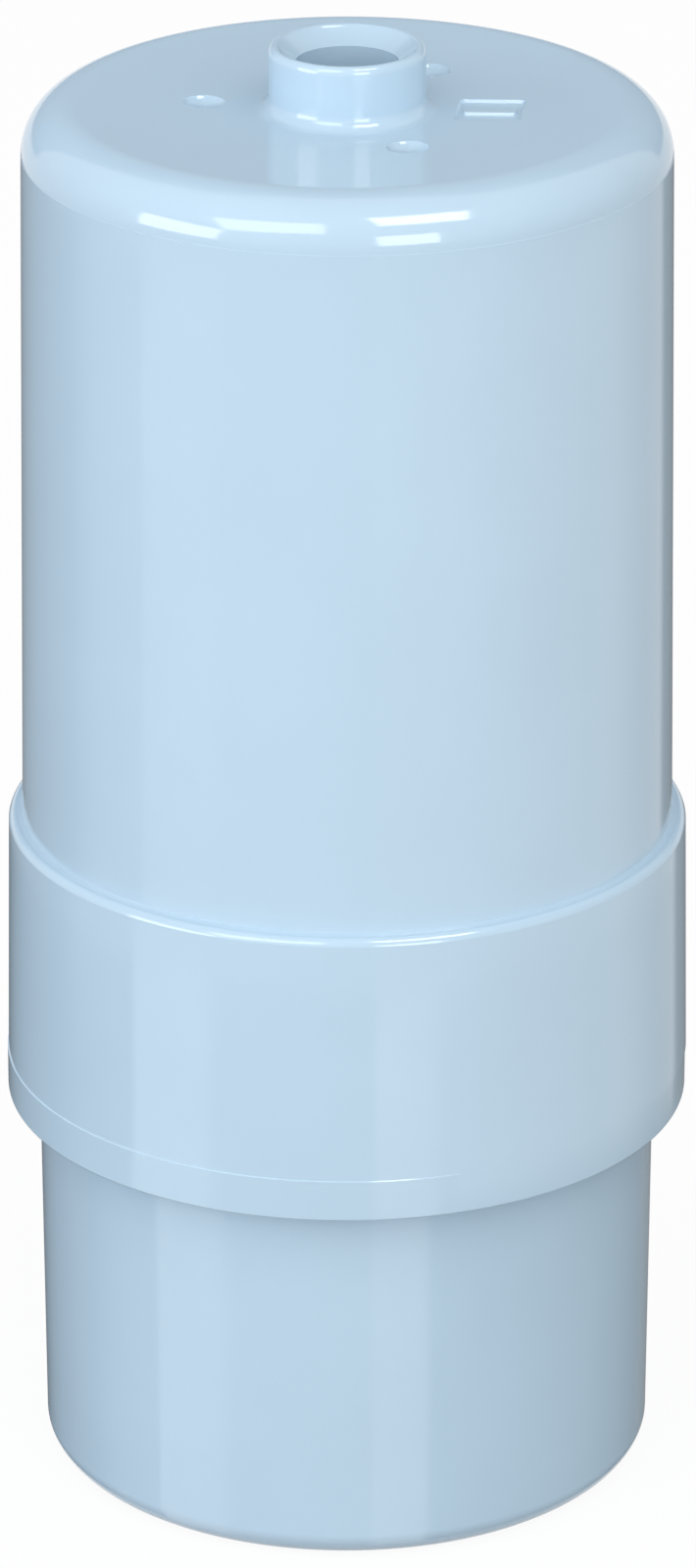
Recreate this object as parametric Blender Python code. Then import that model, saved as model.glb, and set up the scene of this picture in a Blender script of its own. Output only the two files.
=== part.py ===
# Filter cartridge for a water ionizer: two welded mouldings with the filter train sealed inside.
# The frame's origin is the centre of the foot, +Z points up to the outlet nozzle.
# Sizes are in millimetres, and MM turns them into metres where a mesh is made.

from math import atan, cos, degrees, pi, radians, sin, tan

import bmesh
import bpy

MM = 0.001
CLEARANCE = 0.3        # gap that every piece keeps to the piece that carries it

# Upper case, outside
CASE_R = 36.05         # wall radius where the case leaves the collar
CASE_DRAFT = 1.0       # how much narrower the wall is at the shoulder
CASE_H = 81.8          # collar rim to shoulder crest
SHOULDER_ROUND = 5.5
TOP_DISH = 0.8         # how far the top face sinks towards the nozzle

# Outlet nozzle on the upper case
NOZZLE_H = 6.3         # lip above the shoulder crest
NOZZLE_BORE_R = 5.6
NOZZLE_WALL = 2.85
NOZZLE_FILLET = 1.6
LIP_ROUND_W = 0.4
LIP_ROUND_H = 1.0
LEAD_IN_W = 1.75       # cone at the mouth of a bore, across and deep
LEAD_IN_DEPTH = 1.8

# Gate wells in the top face
WELL_COUNT = 3
WELL_CIRCLE_R = 15.4
WELL_R = 2.25
WELL_DEPTH = 0.5
WELL_FILLET = 0.4
WELL_TURN = 54.4       # degrees, direction of the first well

# Plain pocket with a raised bar in the top face
POCKET_CIRCLE_R = 15.1
POCKET_TURN = -7.2     # degrees
POCKET_SIDE = 7.2
POCKET_DEPTH = 0.3
POCKET_BAR_L = 5.6
POCKET_BAR_W = 1.8
POCKET_BAR_DROP = 0.05 # bar top under the face

# Collar, flange and barrel of the lower case
COLLAR_H = 33.0        # flange underside to rim
COLLAR_LIP = 1.2       # collar wall at its mouth
COLLAR_DRAFT = 0.45
RIM_ROUND = 0.9
RIM_CHAMFER = 0.2
MOUTH_DEPTH = 2.3      # wide mouth in which the step of the upper case sits
PARTING_H = 4.7        # flange underside to the mould's parting line
PARTING_STEP = 0.1     # mismatch of the two mould halves
FLANGE_STEP = 3.65     # width of the flange outside the barrel
FLANGE_ROUND = 0.3
BARREL_H = 43.4        # foot to flange underside
BARREL_DRAFT = 0.3
FOOT_ROUND = 3.05
FOOT_LAND = 4.0        # width of the flat ring that the cartridge stands on
FOOT_RECESS = 1.2

# Walls of the two mouldings
CASE_WALL = 2.2
TOP_WALL = 2.2
TONGUE_STEP = 0.65     # step from the case wall to the tongue inside the collar
TONGUE_CHAMFER = 0.5
BARREL_WALL = 2.3
FLOOR_WALL = 2.6
FLOOR_FILLET = 2.0
SHELF_WALL = 2.6

# Inlet socket and ribs on the floor
INLET_BORE_R = 5.6
INLET_WALL = 2.6
INLET_DEPTH = 8.0
FLOOR_RIB_COUNT = 8
FLOOR_RIB_T = 1.6
FLOOR_RIB_RISE = 2.0   # rib tops above the inlet socket, the room where the water spreads

# Granule beds
INLET_PAD_T = 2.0
SULFITE_H = 10.0
BED_PAD_T = 1.5

# Grid that closes the barrel
GRID_T = 4.8
GRID_LIP_T = 2.4
GRID_HUB_R = 4.5
GRID_RIM = 3.0
GRID_RINGS = 3
GRID_SPOKES = 8
GRID_BAR = 2.0

# Carbon block unit
CAP_FLOW_GAP = 1.85    # water gap between the end caps and the case wall
CAP_T = 2.0
CAP_LIP_T = 1.4
CAP_LIP_H = 5.0
CAP_SPIGOT_H = 4.0
CAP_FEET = 6
CAP_FOOT_H = 6.0
CAP_FOOT_T = 2.0
CAP_FOOT_L = 9.0
WRAP_T = 1.5
BLOCK_BORE_SHARE = 7 / 11  # bore of the carbon block over its outside
BLOCK_CHAMFER = 0.8

# Hollow fibre unit
TUBE_WALL = 1.6
TUBE_LIFT = 3.5        # tube end above the lower cap
TUBE_FLANGE_T = 2.0
TUBE_FLANGE_W = 4.5    # flange beyond the tube
PACKING_T = 1.6
NECK_STEP = 1.3        # neck narrower than the tube
NECK_WALL = 1.9
NECK_ROOM = 2.0        # neck end to the case's inner top
O_RING_SECTION_R = 1.0
WINDOW_COLUMNS = 6
WINDOW_ROWS = 3
WINDOW_W = 5.5
WINDOW_BAR = 6.0       # height of the bands between the windows
POTTING_H = 14.0
FIBRE_GAP = 0.6        # slack between the bundle and its tube

# Skirt and ribs inside the top of the upper case
SKIRT_H = 8.5
SKIRT_WALL = 1.8
CASE_RIBS = 6
CASE_RIB_T = 1.6

# Faces round a full turn
SHELL_SIDES = 52
CORE_SIDES = 32
WELL_SIDES = 16
O_RING_SIDES = 8
CREASE = 30            # degrees, sharper edges stay sharp in shading

# Radii of the shells, from the case wall outwards and inwards
case_top_r = CASE_R - CASE_DRAFT
mouth_r = CASE_R + CLEARANCE
collar_mouth_r = mouth_r + COLLAR_LIP
collar_r = collar_mouth_r + COLLAR_DRAFT
flange_r = collar_r + PARTING_STEP
barrel_r = flange_r - FLANGE_STEP
foot_r = barrel_r - BARREL_DRAFT
tongue_r = CASE_R - TONGUE_STEP
socket_r = tongue_r + CLEARANCE
case_in_r = CASE_R - CASE_WALL
case_top_in_r = case_top_r - CASE_WALL
barrel_in_r = barrel_r - BARREL_WALL
foot_in_r = foot_r - BARREL_WALL
nozzle_r = NOZZLE_BORE_R + NOZZLE_WALL
inlet_r = INLET_BORE_R + INLET_WALL

# Levels of the shells, from the foot up
floor_z = FOOT_RECESS + FLOOR_WALL
inlet_top_z = FOOT_RECESS + INLET_DEPTH
floor_rib_z = inlet_top_z + FLOOR_RIB_RISE
parting_z = BARREL_H + PARTING_H
shelf_z = BARREL_H + SHELF_WALL
rim_z = BARREL_H + COLLAR_H
mouth_z = rim_z - MOUTH_DEPTH
case_step_z = mouth_z + CLEARANCE
crest_z = rim_z + CASE_H
lip_z = crest_z + NOZZLE_H
under_top_z = crest_z - TOP_DISH - TOP_WALL

# Levels of the granule beds and the grid over them
inlet_pad_z = floor_rib_z + CLEARANCE
sulfite_z = inlet_pad_z + INLET_PAD_T + CLEARANCE
middle_pad_z = sulfite_z + SULFITE_H + CLEARANCE
carbon_bed_z = middle_pad_z + BED_PAD_T + CLEARANCE
grid_lip_z = shelf_z + CLEARANCE
grid_top_z = grid_lip_z + GRID_LIP_T
grid_z = grid_top_z - GRID_T
bed_pad_z = grid_z - CLEARANCE - BED_PAD_T
carbon_bed_h = bed_pad_z - CLEARANCE - carbon_bed_z
bed_r = foot_in_r - CLEARANCE

# Levels of the carbon block unit and the fibre unit, hung from the skirt under the top
skirt_z = under_top_z - SKIRT_H
tube_flange_z = skirt_z - CLEARANCE - TUBE_FLANGE_T
packing_z = tube_flange_z - CLEARANCE - PACKING_T
upper_cap_top_z = packing_z - CLEARANCE
block_top_z = upper_cap_top_z - CAP_T - CLEARANCE
lower_cap_z = grid_top_z + CLEARANCE
lower_cap_top_z = lower_cap_z + CAP_FOOT_H + CAP_T
block_z = lower_cap_top_z + CLEARANCE
block_h = block_top_z - block_z
tube_z = lower_cap_top_z + TUBE_LIFT
neck_top_z = under_top_z - NECK_ROOM

# Radii of the carbon block unit, from the case wall inwards
cap_r = case_top_in_r - CAP_FLOW_GAP
cap_lip_in_r = cap_r - CAP_LIP_T
wrap_r = cap_lip_in_r - CLEARANCE
block_r = wrap_r - WRAP_T - CLEARANCE
block_bore_r = block_r * BLOCK_BORE_SHARE
spigot_r = block_bore_r - CLEARANCE
spigot_in_r = spigot_r - CAP_LIP_T

# Radii of the fibre unit
tube_r = spigot_in_r - CLEARANCE
tube_in_r = tube_r - TUBE_WALL
tube_flange_r = tube_r + TUBE_FLANGE_W
upstand_in_r = tube_flange_r + CLEARANCE
upstand_r = upstand_in_r + CAP_LIP_T
neck_r = tube_r - NECK_STEP
groove_r = neck_r - 2 * O_RING_SECTION_R - CLEARANCE
neck_bore_r = groove_r - NECK_WALL
skirt_in_r = neck_r + CLEARANCE
skirt_r = skirt_in_r + SKIRT_WALL
groove_half_h = O_RING_SECTION_R + CLEARANCE
groove_z = (skirt_z + neck_top_z) / 2
potting_z = tube_flange_z - POTTING_H


def clear_scene():
    for item in list(bpy.data.objects):
        bpy.data.objects.remove(item, do_unlink=True)


def make_material(name, colour, roughness):
    material = bpy.data.materials.new(name)
    material.use_nodes = True
    shader = material.node_tree.nodes["Principled BSDF"]
    shader.inputs["Base Color"].default_value = (*colour, 1.0)
    shader.inputs["Roughness"].default_value = roughness
    shader.inputs["Metallic"].default_value = 0.0
    return material


def make_object(name, mesh_data, parent, height=0.0):
    """Finish a bmesh as an object that stands at a height over the foot."""
    bmesh.ops.recalc_face_normals(mesh_data, faces=mesh_data.faces)
    mesh = bpy.data.meshes.new(name)
    mesh_data.to_mesh(mesh)
    mesh_data.free()
    item = bpy.data.objects.new(name, mesh)
    item.location = (0.0, 0.0, height * MM)
    item.parent = parent
    bpy.context.collection.objects.link(item)
    return item


def finish_piece(item, material):
    item.data.materials.append(material)
    item.data.shade_smooth()
    item.data.set_sharp_from_angle(angle=radians(CREASE))


def arc(centre_r, centre_z, radius, start, end, steps, height=None):
    """Points of an arc in the profile plane, elliptic where it has a height of its own."""
    rise = radius if height is None else height
    points = []
    for step in range(steps + 1):
        angle = radians(start + (end - start) * step / steps)
        points.append((centre_r + radius * cos(angle), centre_z + rise * sin(angle)))
    return points


def turn_profile(mesh_data, profile, sides, centre=(0.0, 0.0)):
    """Spin a (radius, height) profile about a vertical line. It closes on itself or on the line."""
    on_axis = [point[0] == 0.0 for point in profile]
    points = [mesh_data.verts.new(((centre[0] + r) * MM, centre[1] * MM, z * MM)) for r, z in profile]
    edges = [mesh_data.edges.new(pair) for pair in zip(points, points[1:])]
    if not any(on_axis):
        edges.append(mesh_data.edges.new((points[-1], points[0])))
    line = (centre[0] * MM, centre[1] * MM, 0.0)
    bmesh.ops.spin(mesh_data, geom=points + edges, cent=line, axis=(0.0, 0.0, 1.0),
                   angle=2 * pi, steps=sides, use_merge=True, use_duplicate=False)
    bmesh.ops.remove_doubles(mesh_data, verts=mesh_data.verts, dist=0.001 * MM)


def turned(name, profile, parent, material, sides=CORE_SIDES, height=0.0):
    mesh_data = bmesh.new()
    turn_profile(mesh_data, profile, sides)
    item = make_object(name, mesh_data, parent, height)
    finish_piece(item, material)
    return item


def ring_profile(inner_r, outer_r, bottom, top, chamfer=0.0):
    """Section of a plain ring, with its outer edges broken if it has a chamfer."""
    if chamfer == 0.0:
        return [(inner_r, bottom), (outer_r, bottom), (outer_r, top), (inner_r, top)]
    return [(inner_r, bottom), (outer_r - chamfer, bottom), (outer_r, bottom + chamfer),
            (outer_r, top - chamfer), (outer_r - chamfer, top), (inner_r, top)]


def disc_profile(radius, thickness):
    return [(0.0, 0.0), (radius, 0.0), (radius, thickness), (0.0, thickness)]


def add_radial_plate(mesh_data, angle, outline, width):
    """Add one closed plate that stands in a plane through the axis, from an outline of (radius, height)."""
    sides = []
    for offset in (-width / 2, width / 2):
        side = []
        for r, z in outline:
            x = r * cos(angle) - offset * sin(angle)
            y = r * sin(angle) + offset * cos(angle)
            side.append(mesh_data.verts.new((x * MM, y * MM, z * MM)))
        sides.append(side)
    near, far = sides
    for index in range(len(outline)):
        following = (index + 1) % len(outline)
        mesh_data.faces.new((near[index], near[following], far[following], far[index]))
    mesh_data.faces.new(far)
    mesh_data.faces.new(list(reversed(near)))


def bar_outline(inner_r, outer_r, bottom, top, cut=0.0):
    """Outline of a radial bar, with its upper outer corner cut off where a cut is given."""
    if cut == 0.0:
        return [(inner_r, bottom), (outer_r, bottom), (outer_r, top), (inner_r, top)]
    return [(inner_r, bottom), (outer_r, bottom), (outer_r, top - cut),
            (outer_r - cut, top), (inner_r, top)]


def add_sector(mesh_data, start, end, inner_r, outer_r, bottom, top, steps):
    """Add one closed block bounded by two arcs and two radial faces."""
    angles = [start + (end - start) * step / steps for step in range(steps + 1)]
    rows = []
    for r, z in ((inner_r, bottom), (outer_r, bottom), (outer_r, top), (inner_r, top)):
        rows.append([mesh_data.verts.new((r * cos(a) * MM, r * sin(a) * MM, z * MM)) for a in angles])
    for row, following in zip(rows, rows[1:] + rows[:1]):
        for step in range(steps):
            mesh_data.faces.new((row[step], row[step + 1], following[step + 1], following[step]))
    mesh_data.faces.new([row[0] for row in rows])
    mesh_data.faces.new([row[-1] for row in reversed(rows)])


def tool_object(name, mesh_data, parent, height=0.0):
    """A shape that only cuts or joins, and isn't a piece of the cartridge."""
    item = make_object(name, mesh_data, parent, height)
    item.hide_render = True
    item.display_type = "WIRE"
    return item


def combine(item, tool, operation):
    modifier = item.modifiers.new(tool.name, "BOOLEAN")
    modifier.object = tool
    modifier.operation = operation
    modifier.solver = "EXACT"


def radial_bars(name, parent, count, outline, width, turn=0.0):
    mesh_data = bmesh.new()
    for index in range(count):
        add_radial_plate(mesh_data, turn + 2 * pi * index / count, outline, width)
    return tool_object(name, mesh_data, parent)


# The top face is a shallow bowl, and its slope at the crest runs on into the shoulder round.
crest_r = case_top_r - SHOULDER_ROUND
crest_slope = atan(2 * TOP_DISH / crest_r)
bowl_r = crest_r - SHOULDER_ROUND * sin(crest_slope)
bowl_edge_z = crest_z - SHOULDER_ROUND * (1 - cos(crest_slope))


def top_face_z(r):
    return bowl_edge_z - tan(crest_slope) / (2 * bowl_r) * (bowl_r ** 2 - r ** 2)


def nozzle_profile():
    """Bore, lead-in cone, rounded lip and foot fillet, from the bore's lower end to the top face."""
    foot_out_r = nozzle_r + NOZZLE_FILLET
    fillet_z = top_face_z(foot_out_r) + NOZZLE_FILLET
    lip = arc(nozzle_r - LIP_ROUND_W, lip_z - LIP_ROUND_H, LIP_ROUND_W, 90, 0, 3, LIP_ROUND_H)
    fillet = arc(foot_out_r, fillet_z, NOZZLE_FILLET, 180, 270, 4)
    bore = [(NOZZLE_BORE_R, under_top_z),
            (NOZZLE_BORE_R, lip_z - LEAD_IN_DEPTH),
            (NOZZLE_BORE_R + LEAD_IN_W, lip_z)]
    return bore + lip + fillet


def upper_case_profile():
    """Section of the can, clockwise from the nozzle bore round the outside and back along the inside."""
    face_start = nozzle_r + NOZZLE_FILLET
    face = [(face_start + (bowl_r - face_start) * part / 3, 0.0) for part in (1, 2)]
    face = [(r, top_face_z(r)) for r, _ in face]
    shoulder = arc(crest_r, crest_z - SHOULDER_ROUND, SHOULDER_ROUND, 90 + degrees(crest_slope), 0, 8)
    tongue_z = shelf_z + CLEARANCE
    outside = [(CASE_R, case_step_z),
               (tongue_r, case_step_z),
               (tongue_r, tongue_z + TONGUE_CHAMFER),
               (tongue_r - TONGUE_CHAMFER, tongue_z),
               (case_in_r, tongue_z),
               (case_in_r, case_step_z)]
    inner_round = max(SHOULDER_ROUND - CASE_WALL, TONGUE_CHAMFER)
    inside = arc(case_top_in_r - inner_round, under_top_z - inner_round, inner_round, 0, 90, 3)
    skirt = [(skirt_r, under_top_z), (skirt_r, skirt_z), (skirt_in_r, skirt_z), (skirt_in_r, under_top_z)]
    return nozzle_profile() + face + shoulder + outside + inside + skirt


def gate_wells(parent):
    """Cutters for the shallow round wells in which the moulding gates end."""
    face_z = top_face_z(WELL_CIRCLE_R)
    floor = face_z - WELL_DEPTH
    fillet = arc(WELL_R - WELL_FILLET, floor + WELL_FILLET, WELL_FILLET, -90, 0, 3)
    profile = [(0.0, floor)] + fillet + [(WELL_R, face_z + WELL_R), (0.0, face_z + WELL_R)]
    mesh_data = bmesh.new()
    for index in range(WELL_COUNT):
        angle = radians(WELL_TURN) + 2 * pi * index / WELL_COUNT
        centre = (WELL_CIRCLE_R * cos(angle), WELL_CIRCLE_R * sin(angle))
        turn_profile(mesh_data, profile, WELL_SIDES, centre)
    return tool_object("gate_well_cutter", mesh_data, parent)


def pocket_shape(name, parent, length, width, bottom, top):
    """A block in the top face at the pocket's place, with its length along the radius."""
    outline = bar_outline(POCKET_CIRCLE_R - length / 2, POCKET_CIRCLE_R + length / 2, bottom, top)
    return radial_bars(name, parent, 1, outline, width, radians(POCKET_TURN))


def press_pocket(item, parent):
    face_z = top_face_z(POCKET_CIRCLE_R)
    floor = face_z - POCKET_DEPTH
    pocket = pocket_shape("pocket_cutter", parent, POCKET_SIDE, POCKET_SIDE, floor, face_z + POCKET_DEPTH)
    bar = pocket_shape("pocket_bar_shape", parent, POCKET_BAR_L, POCKET_BAR_W,
                       floor - POCKET_DEPTH, face_z - POCKET_BAR_DROP)
    combine(item, pocket, "DIFFERENCE")
    combine(item, bar, "UNION")


def build_upper_case(parent, material):
    item = turned("upper_case", upper_case_profile(), parent, material, SHELL_SIDES)
    rib = bar_outline(upstand_r + 2 * CLEARANCE, case_top_in_r + CASE_WALL / 2,
                      upper_cap_top_z + CLEARANCE, under_top_z + TOP_WALL / 2, SHOULDER_ROUND / 2)
    ribs = radial_bars("case_rib_shape", parent, CASE_RIBS, rib, CASE_RIB_T)
    combine(item, ribs, "UNION")
    combine(item, gate_wells(parent), "DIFFERENCE")
    press_pocket(item, parent)
    return item


def lower_case_profile():
    """Section of the lower moulding, from the inlet mouth round the outside and back down the inside."""
    foot_flat_r = foot_r - FOOT_ROUND
    recess_r = foot_flat_r - FOOT_LAND
    foot = [(INLET_BORE_R + LEAD_IN_W, FOOT_RECESS), (recess_r - FOOT_RECESS, FOOT_RECESS), (recess_r, 0.0)]
    foot += arc(foot_flat_r, FOOT_ROUND, FOOT_ROUND, -90, 0, 5)
    flange = [(barrel_r, BARREL_H)]
    flange += arc(flange_r - FLANGE_ROUND, BARREL_H + FLANGE_ROUND, FLANGE_ROUND, -90, 0, 2)
    flange += [(flange_r, parting_z), (collar_r, parting_z + PARTING_STEP)]
    rim = arc(collar_mouth_r - RIM_ROUND, rim_z - RIM_ROUND, RIM_ROUND, 0, 90, 3)
    rim += [(mouth_r + RIM_CHAMFER, rim_z), (mouth_r, rim_z - RIM_CHAMFER)]
    socket = [(mouth_r, mouth_z), (socket_r, mouth_z), (socket_r, shelf_z), (barrel_in_r, shelf_z)]
    floor = arc(foot_in_r - FLOOR_FILLET, floor_z + FLOOR_FILLET, FLOOR_FILLET, 0, -90, 3)
    inlet = [(inlet_r, floor_z), (inlet_r, inlet_top_z), (INLET_BORE_R, inlet_top_z),
             (INLET_BORE_R, FOOT_RECESS + LEAD_IN_DEPTH)]
    return foot + flange + rim + socket + floor + inlet


def build_lower_case(parent, material):
    item = turned("lower_case", lower_case_profile(), parent, material, SHELL_SIDES)
    rib = bar_outline(inlet_r - INLET_WALL / 2, foot_in_r + BARREL_WALL / 2,
                      floor_z - FLOOR_WALL / 2, floor_rib_z)
    ribs = radial_bars("floor_rib_shape", parent, FLOOR_RIB_COUNT, rib, FLOOR_RIB_T)
    combine(item, ribs, "UNION")
    return item


def build_beds(parent, fabric, sulfite, carbon):
    """Two granule layers between three non-woven discs."""
    turned("inlet_pad", disc_profile(bed_r, INLET_PAD_T), parent, fabric, height=inlet_pad_z)
    turned("sulfite_bed", disc_profile(bed_r, SULFITE_H), parent, sulfite, height=sulfite_z)
    turned("middle_pad", disc_profile(bed_r, BED_PAD_T), parent, fabric, height=middle_pad_z)
    turned("carbon_bed", disc_profile(bed_r, carbon_bed_h), parent, carbon, height=carbon_bed_z)
    turned("bed_pad", disc_profile(bed_r, BED_PAD_T), parent, fabric, height=bed_pad_z)


def build_bed_grid(parent, material):
    """Plate with rings of curved slots, and a lip that rests on the shelf over the flange."""
    grid_r = barrel_in_r - CLEARANCE
    lip_r = case_in_r - CLEARANCE
    profile = [(0.0, grid_z), (grid_r, grid_z), (grid_r, grid_lip_z), (lip_r, grid_lip_z),
               (lip_r, grid_top_z), (0.0, grid_top_z)]
    item = turned("bed_grid", profile, parent, material)
    slot_pitch = (grid_r - GRID_RIM + GRID_BAR - GRID_HUB_R) / GRID_RINGS
    mesh_data = bmesh.new()
    for ring in range(GRID_RINGS):
        inner_r = GRID_HUB_R + ring * slot_pitch
        outer_r = inner_r + slot_pitch - GRID_BAR
        half_bar = GRID_BAR / 2 / ((inner_r + outer_r) / 2)
        for spoke in range(GRID_SPOKES):
            start = 2 * pi * spoke / GRID_SPOKES + half_bar
            end = 2 * pi * (spoke + 1) / GRID_SPOKES - half_bar
            add_sector(mesh_data, start, end, inner_r, outer_r,
                       grid_z - GRID_BAR, grid_top_z + GRID_BAR, 3)
    combine(item, tool_object("grid_slot_cutter", mesh_data, parent), "DIFFERENCE")


def build_lower_cap(parent, material):
    """Closed cap under the block, on feet that leave the water a way out of the grid."""
    plate_z = lower_cap_z + CAP_FOOT_H
    profile = [(0.0, plate_z), (cap_r, plate_z), (cap_r, lower_cap_top_z + CAP_LIP_H),
               (cap_lip_in_r, lower_cap_top_z + CAP_LIP_H), (cap_lip_in_r, lower_cap_top_z),
               (spigot_r, lower_cap_top_z), (spigot_r, lower_cap_top_z + CAP_SPIGOT_H),
               (spigot_in_r, lower_cap_top_z + CAP_SPIGOT_H), (spigot_in_r, lower_cap_top_z),
               (0.0, lower_cap_top_z)]
    item = turned("lower_end_cap", profile, parent, material)
    foot = bar_outline(cap_lip_in_r - CAP_FOOT_L, cap_lip_in_r, lower_cap_z, plate_z + CAP_T / 2)
    feet = radial_bars("cap_foot_shape", parent, CAP_FEET, foot, CAP_FOOT_T, pi / CAP_FEET)
    combine(item, feet, "UNION")


def build_upper_cap(parent, material):
    """Ring cap on the block, with a spigot into its bore and an upstand round the tube flange."""
    plate_z = upper_cap_top_z - CAP_T
    profile = [(spigot_in_r, plate_z - CAP_SPIGOT_H), (spigot_r, plate_z - CAP_SPIGOT_H),
               (spigot_r, plate_z), (cap_lip_in_r, plate_z),
               (cap_lip_in_r, plate_z - CAP_LIP_H), (cap_r, plate_z - CAP_LIP_H),
               (cap_r, upper_cap_top_z), (upstand_r, upper_cap_top_z),
               (upstand_r, skirt_z), (upstand_in_r, skirt_z),
               (upstand_in_r, upper_cap_top_z), (spigot_in_r, upper_cap_top_z)]
    turned("upper_end_cap", profile, parent, material)


def build_block(parent, carbon, fabric):
    block = ring_profile(block_bore_r, block_r, 0.0, block_h, BLOCK_CHAMFER)
    turned("carbon_block", block, parent, carbon, height=block_z)
    wrap = ring_profile(wrap_r - WRAP_T, wrap_r, 0.0, block_h)
    turned("block_wrap", wrap, parent, fabric, height=block_z)


def build_membrane_case(parent, material):
    """Tube with rows of windows, a flange that seals on the upper cap and a neck with a ring groove."""
    neck_z = tube_flange_z + TUBE_FLANGE_T
    groove_low_z = groove_z - groove_half_h
    groove_high_z = groove_z + groove_half_h
    profile = [(tube_in_r, tube_z), (tube_r, tube_z),
               (tube_r, tube_flange_z), (tube_flange_r, tube_flange_z),
               (tube_flange_r, neck_z), (neck_r, neck_z),
               (neck_r, groove_low_z), (groove_r, groove_low_z),
               (groove_r, groove_high_z), (neck_r, groove_high_z),
               (neck_r, neck_top_z), (neck_bore_r, neck_top_z),
               (neck_bore_r, neck_z), (tube_in_r, tube_flange_z)]
    item = turned("membrane_case", profile, parent, material)
    row_pitch = (potting_z - tube_z) / WINDOW_ROWS
    mesh_data = bmesh.new()
    for row in range(WINDOW_ROWS):
        bottom = tube_z + row * row_pitch + WINDOW_BAR / 2
        top = tube_z + (row + 1) * row_pitch - WINDOW_BAR / 2
        for column in range(WINDOW_COLUMNS):
            window = bar_outline(tube_in_r - 2 * TUBE_WALL, tube_r + TUBE_WALL, bottom, top)
            add_radial_plate(mesh_data, 2 * pi * column / WINDOW_COLUMNS, window, WINDOW_W)
    combine(item, tool_object("window_cutter", mesh_data, parent), "DIFFERENCE")


def build_fibre_unit(parent, fibre, resin, rubber, plastic):
    build_membrane_case(parent, plastic)
    potting = disc_profile(tube_in_r - CLEARANCE, POTTING_H - CLEARANCE)
    turned("fibre_potting", potting, parent, resin, height=potting_z)
    bundle_r = tube_in_r - FIBRE_GAP
    bundle_top = potting_z - CLEARANCE - tube_z
    bend = arc(bundle_r / 2, bundle_r / 2, bundle_r / 2, -90, 0, 4)
    bundle = [(0.0, bend[0][1])] + bend + [(bundle_r, bundle_top), (0.0, bundle_top)]
    turned("fibre_bundle", bundle, parent, fibre, height=tube_z)
    packing = ring_profile(tube_r + 2 * CLEARANCE, tube_flange_r - 2 * CLEARANCE, 0.0, PACKING_T)
    turned("cap_packing", packing, parent, rubber, height=packing_z)
    ring_r = groove_r + CLEARANCE + O_RING_SECTION_R
    ring = arc(ring_r, 0.0, O_RING_SECTION_R, 0, 360, O_RING_SIDES)[:-1]
    turned("outlet_o_ring", ring, parent, rubber, height=groove_z)


def build_cartridge():
    clear_scene()
    root = bpy.data.objects.new("cartridge", None)
    bpy.context.collection.objects.link(root)
    gloss_blue = make_material("gloss_blue_abs", (0.50, 0.68, 0.82), 0.15)
    white_plastic = make_material("white_plastic", (0.80, 0.81, 0.80), 0.45)
    fabric = make_material("non_woven", (0.86, 0.86, 0.83), 0.95)
    sulfite = make_material("sulfite_granules", (0.82, 0.80, 0.74), 0.9)
    carbon = make_material("activated_carbon", (0.02, 0.02, 0.022), 0.9)
    fibre = make_material("hollow_fibre", (0.90, 0.90, 0.88), 0.6)
    resin = make_material("potting_resin", (0.78, 0.70, 0.48), 0.3)
    rubber = make_material("black_rubber", (0.02, 0.02, 0.02), 0.55)
    build_upper_case(root, gloss_blue)
    build_lower_case(root, gloss_blue)
    build_beds(root, fabric, sulfite, carbon)
    build_bed_grid(root, white_plastic)
    build_lower_cap(root, white_plastic)
    build_upper_cap(root, white_plastic)
    build_block(root, carbon, fabric)
    build_fibre_unit(root, fibre, resin, rubber, white_plastic)


build_cartridge()
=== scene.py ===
# Looks of the water ionizer filter cartridge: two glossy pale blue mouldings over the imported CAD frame.
# Sizes are in millimetres, and MM turns them into the frame's metres.

from math import atan, atan2, cos, degrees, pi, radians, sin, tan

import bmesh
import bpy
from mathutils import Matrix, Quaternion, Vector


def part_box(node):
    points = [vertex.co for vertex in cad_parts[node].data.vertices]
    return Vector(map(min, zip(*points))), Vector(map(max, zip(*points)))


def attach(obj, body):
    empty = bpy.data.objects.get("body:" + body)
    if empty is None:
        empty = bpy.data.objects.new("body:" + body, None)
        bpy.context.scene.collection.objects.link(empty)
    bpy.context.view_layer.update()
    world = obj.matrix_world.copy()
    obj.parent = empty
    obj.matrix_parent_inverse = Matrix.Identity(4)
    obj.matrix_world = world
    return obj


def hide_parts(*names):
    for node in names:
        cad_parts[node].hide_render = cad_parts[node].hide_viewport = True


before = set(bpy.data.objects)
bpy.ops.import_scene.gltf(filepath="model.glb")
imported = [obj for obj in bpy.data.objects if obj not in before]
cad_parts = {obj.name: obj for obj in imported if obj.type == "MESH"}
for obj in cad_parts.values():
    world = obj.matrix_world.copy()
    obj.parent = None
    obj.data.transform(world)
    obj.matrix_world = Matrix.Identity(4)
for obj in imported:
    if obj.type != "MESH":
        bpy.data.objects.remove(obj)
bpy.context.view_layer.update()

MM = 0.001

# How finely the forms are cut
SIDES = 512
SHOULDER_STEPS = 28
WELL_CORNER_STEPS = 18
FOOT_STEPS = 14
FILLET_STEPS = 12
ROUND_STEPS = 10
PRESS_STEPS = 8
SMALL_STEPS = 6
EDGE_STEPS = 5
NUB_STEPS = 4
WALL_STEPS = 6
STRAIGHT_STEPS = 5
BORE_STEPS = 4
NOZZLE_STEPS = 3
TOP_RING_STEP = 0.9       # between the rings of the top face
TOP_RING_FINE = 0.25      # the same, under the wells and the pocket
TOP_RING_MARGIN = 0.5
TOP_RING_END = 1.0        # no ring is added once the last is this near the dish's edge
MERGE_DISTANCE = 1e-4
CREASE = 32               # degrees between faces, from which an edge stays sharp
LARGE_FACE_WEIGHT = 100

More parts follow.
